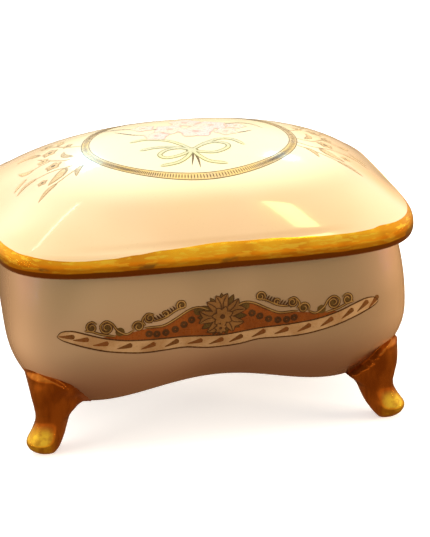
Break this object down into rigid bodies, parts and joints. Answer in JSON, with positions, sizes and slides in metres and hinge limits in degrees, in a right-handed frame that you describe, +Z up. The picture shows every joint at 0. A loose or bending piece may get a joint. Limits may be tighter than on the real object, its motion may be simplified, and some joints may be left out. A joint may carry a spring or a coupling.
{
  "type": "trinket box",
  "caption": "Small footed porcelain box with a bulging rounded-rectangular bowl, gilt cabriole feet and a domed lift-off lid with a gilt rolled lip.",
  "frame": {"origin": "on the table at the middle of the box's footprint", "axes": "+X along the longer side, left to right as seen from the front; the front faces -Y; +Z up, the way the lid lifts off"},
  "size_m": [0.152, 0.1204, 0.0982],
  "materials": {
    "base_glaze": "ivory lustre glaze, gloss",
    "lid_glaze": "ivory mother-of-pearl lustre glaze, gloss",
    "ring_glaze": "plain glaze, satin",
    "lip_gilding": "bright fired gilding over glaze",
    "foot_gilding": "bright fired gilding over glaze"
  },
  "bodies": {
    "base": {"base_bowl": "base_glaze", "front_left_foot": "foot_gilding", "front_right_foot": "foot_gilding", "rear_left_foot": "foot_gilding", "rear_right_foot": "foot_gilding"},
    "lid": {"lid_dome": "lid_glaze", "lid_gilt_lip": "lip_gilding", "lid_locating_ring": "ring_glaze"}
  },
  "joints": [
    {"name": "lid_lift", "type": "slide", "parent": "base", "child": "lid", "axis": [0, 0, 1], "range_m": [0, 0.06]}
  ]
}
